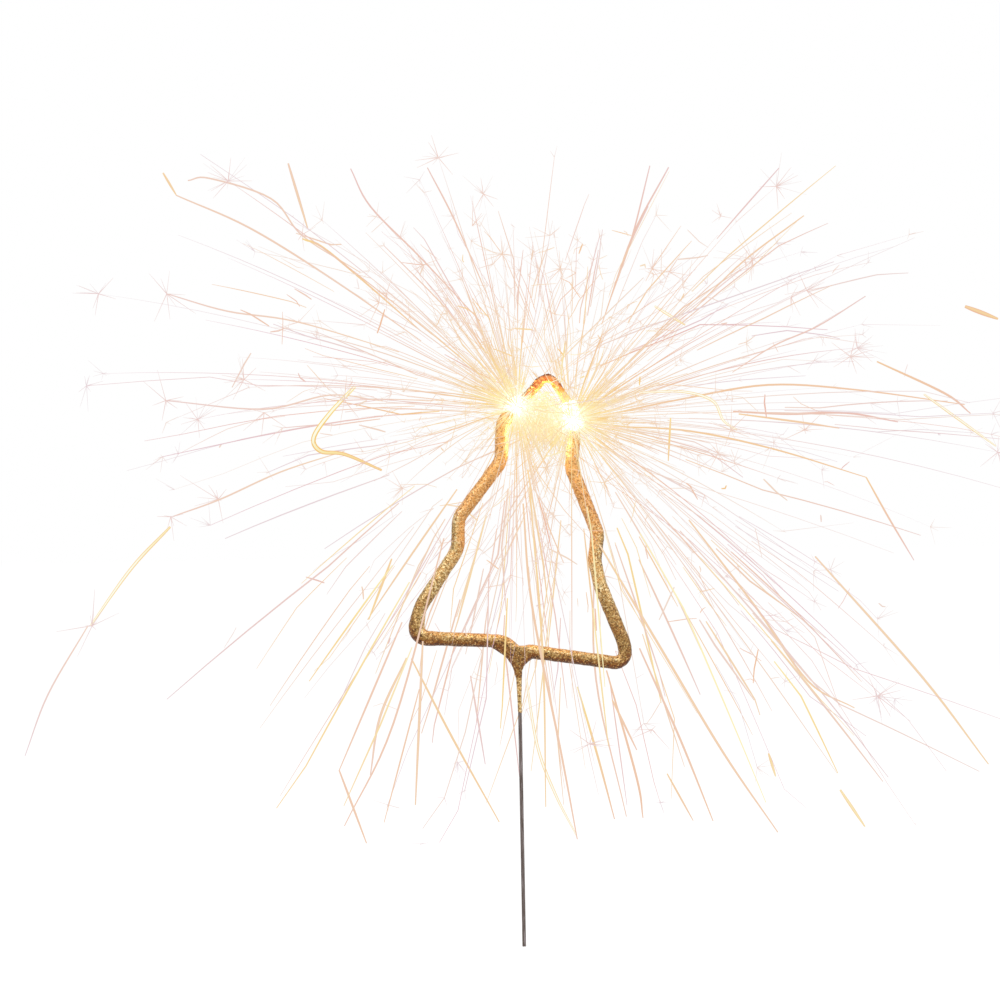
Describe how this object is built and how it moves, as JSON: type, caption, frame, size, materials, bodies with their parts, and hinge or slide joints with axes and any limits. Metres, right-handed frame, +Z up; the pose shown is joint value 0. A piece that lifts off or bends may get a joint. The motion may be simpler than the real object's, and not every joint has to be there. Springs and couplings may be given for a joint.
{
  "type": "sparkler",
  "caption": "Fir-tree sparkler on a bare wire stem: bent steel wire in a glittering gold crust, alight at the tip, with burnt slag, burning fronts and flying sparks",
  "frame": {"origin": "the foot of the bare stem, on the wire's axis", "axes": "+Z up along the stem, +X to the right across the tree, +Y away from the viewer, square to the tree"},
  "size_m": [0.295, 0.2061, 0.244],
  "materials": {
    "steel": "satin",
    "gold_crust": "satin",
    "slag": "matte",
    "burning": "matte",
    "sparks": "matte"
  },
  "bodies": {
    "root": {"stem_wire": "steel", "loop_wire": "steel", "neck_crust": "gold_crust", "left_base_crust": "gold_crust", "right_base_crust": "gold_crust", "left_arm_crust": "gold_crust", "right_arm_crust": "gold_crust", "tip_slag": "slag", "left_front": "burning", "right_front": "burning", "left_sparks": "sparks", "right_sparks": "sparks"}
  },
  "joints": []
}
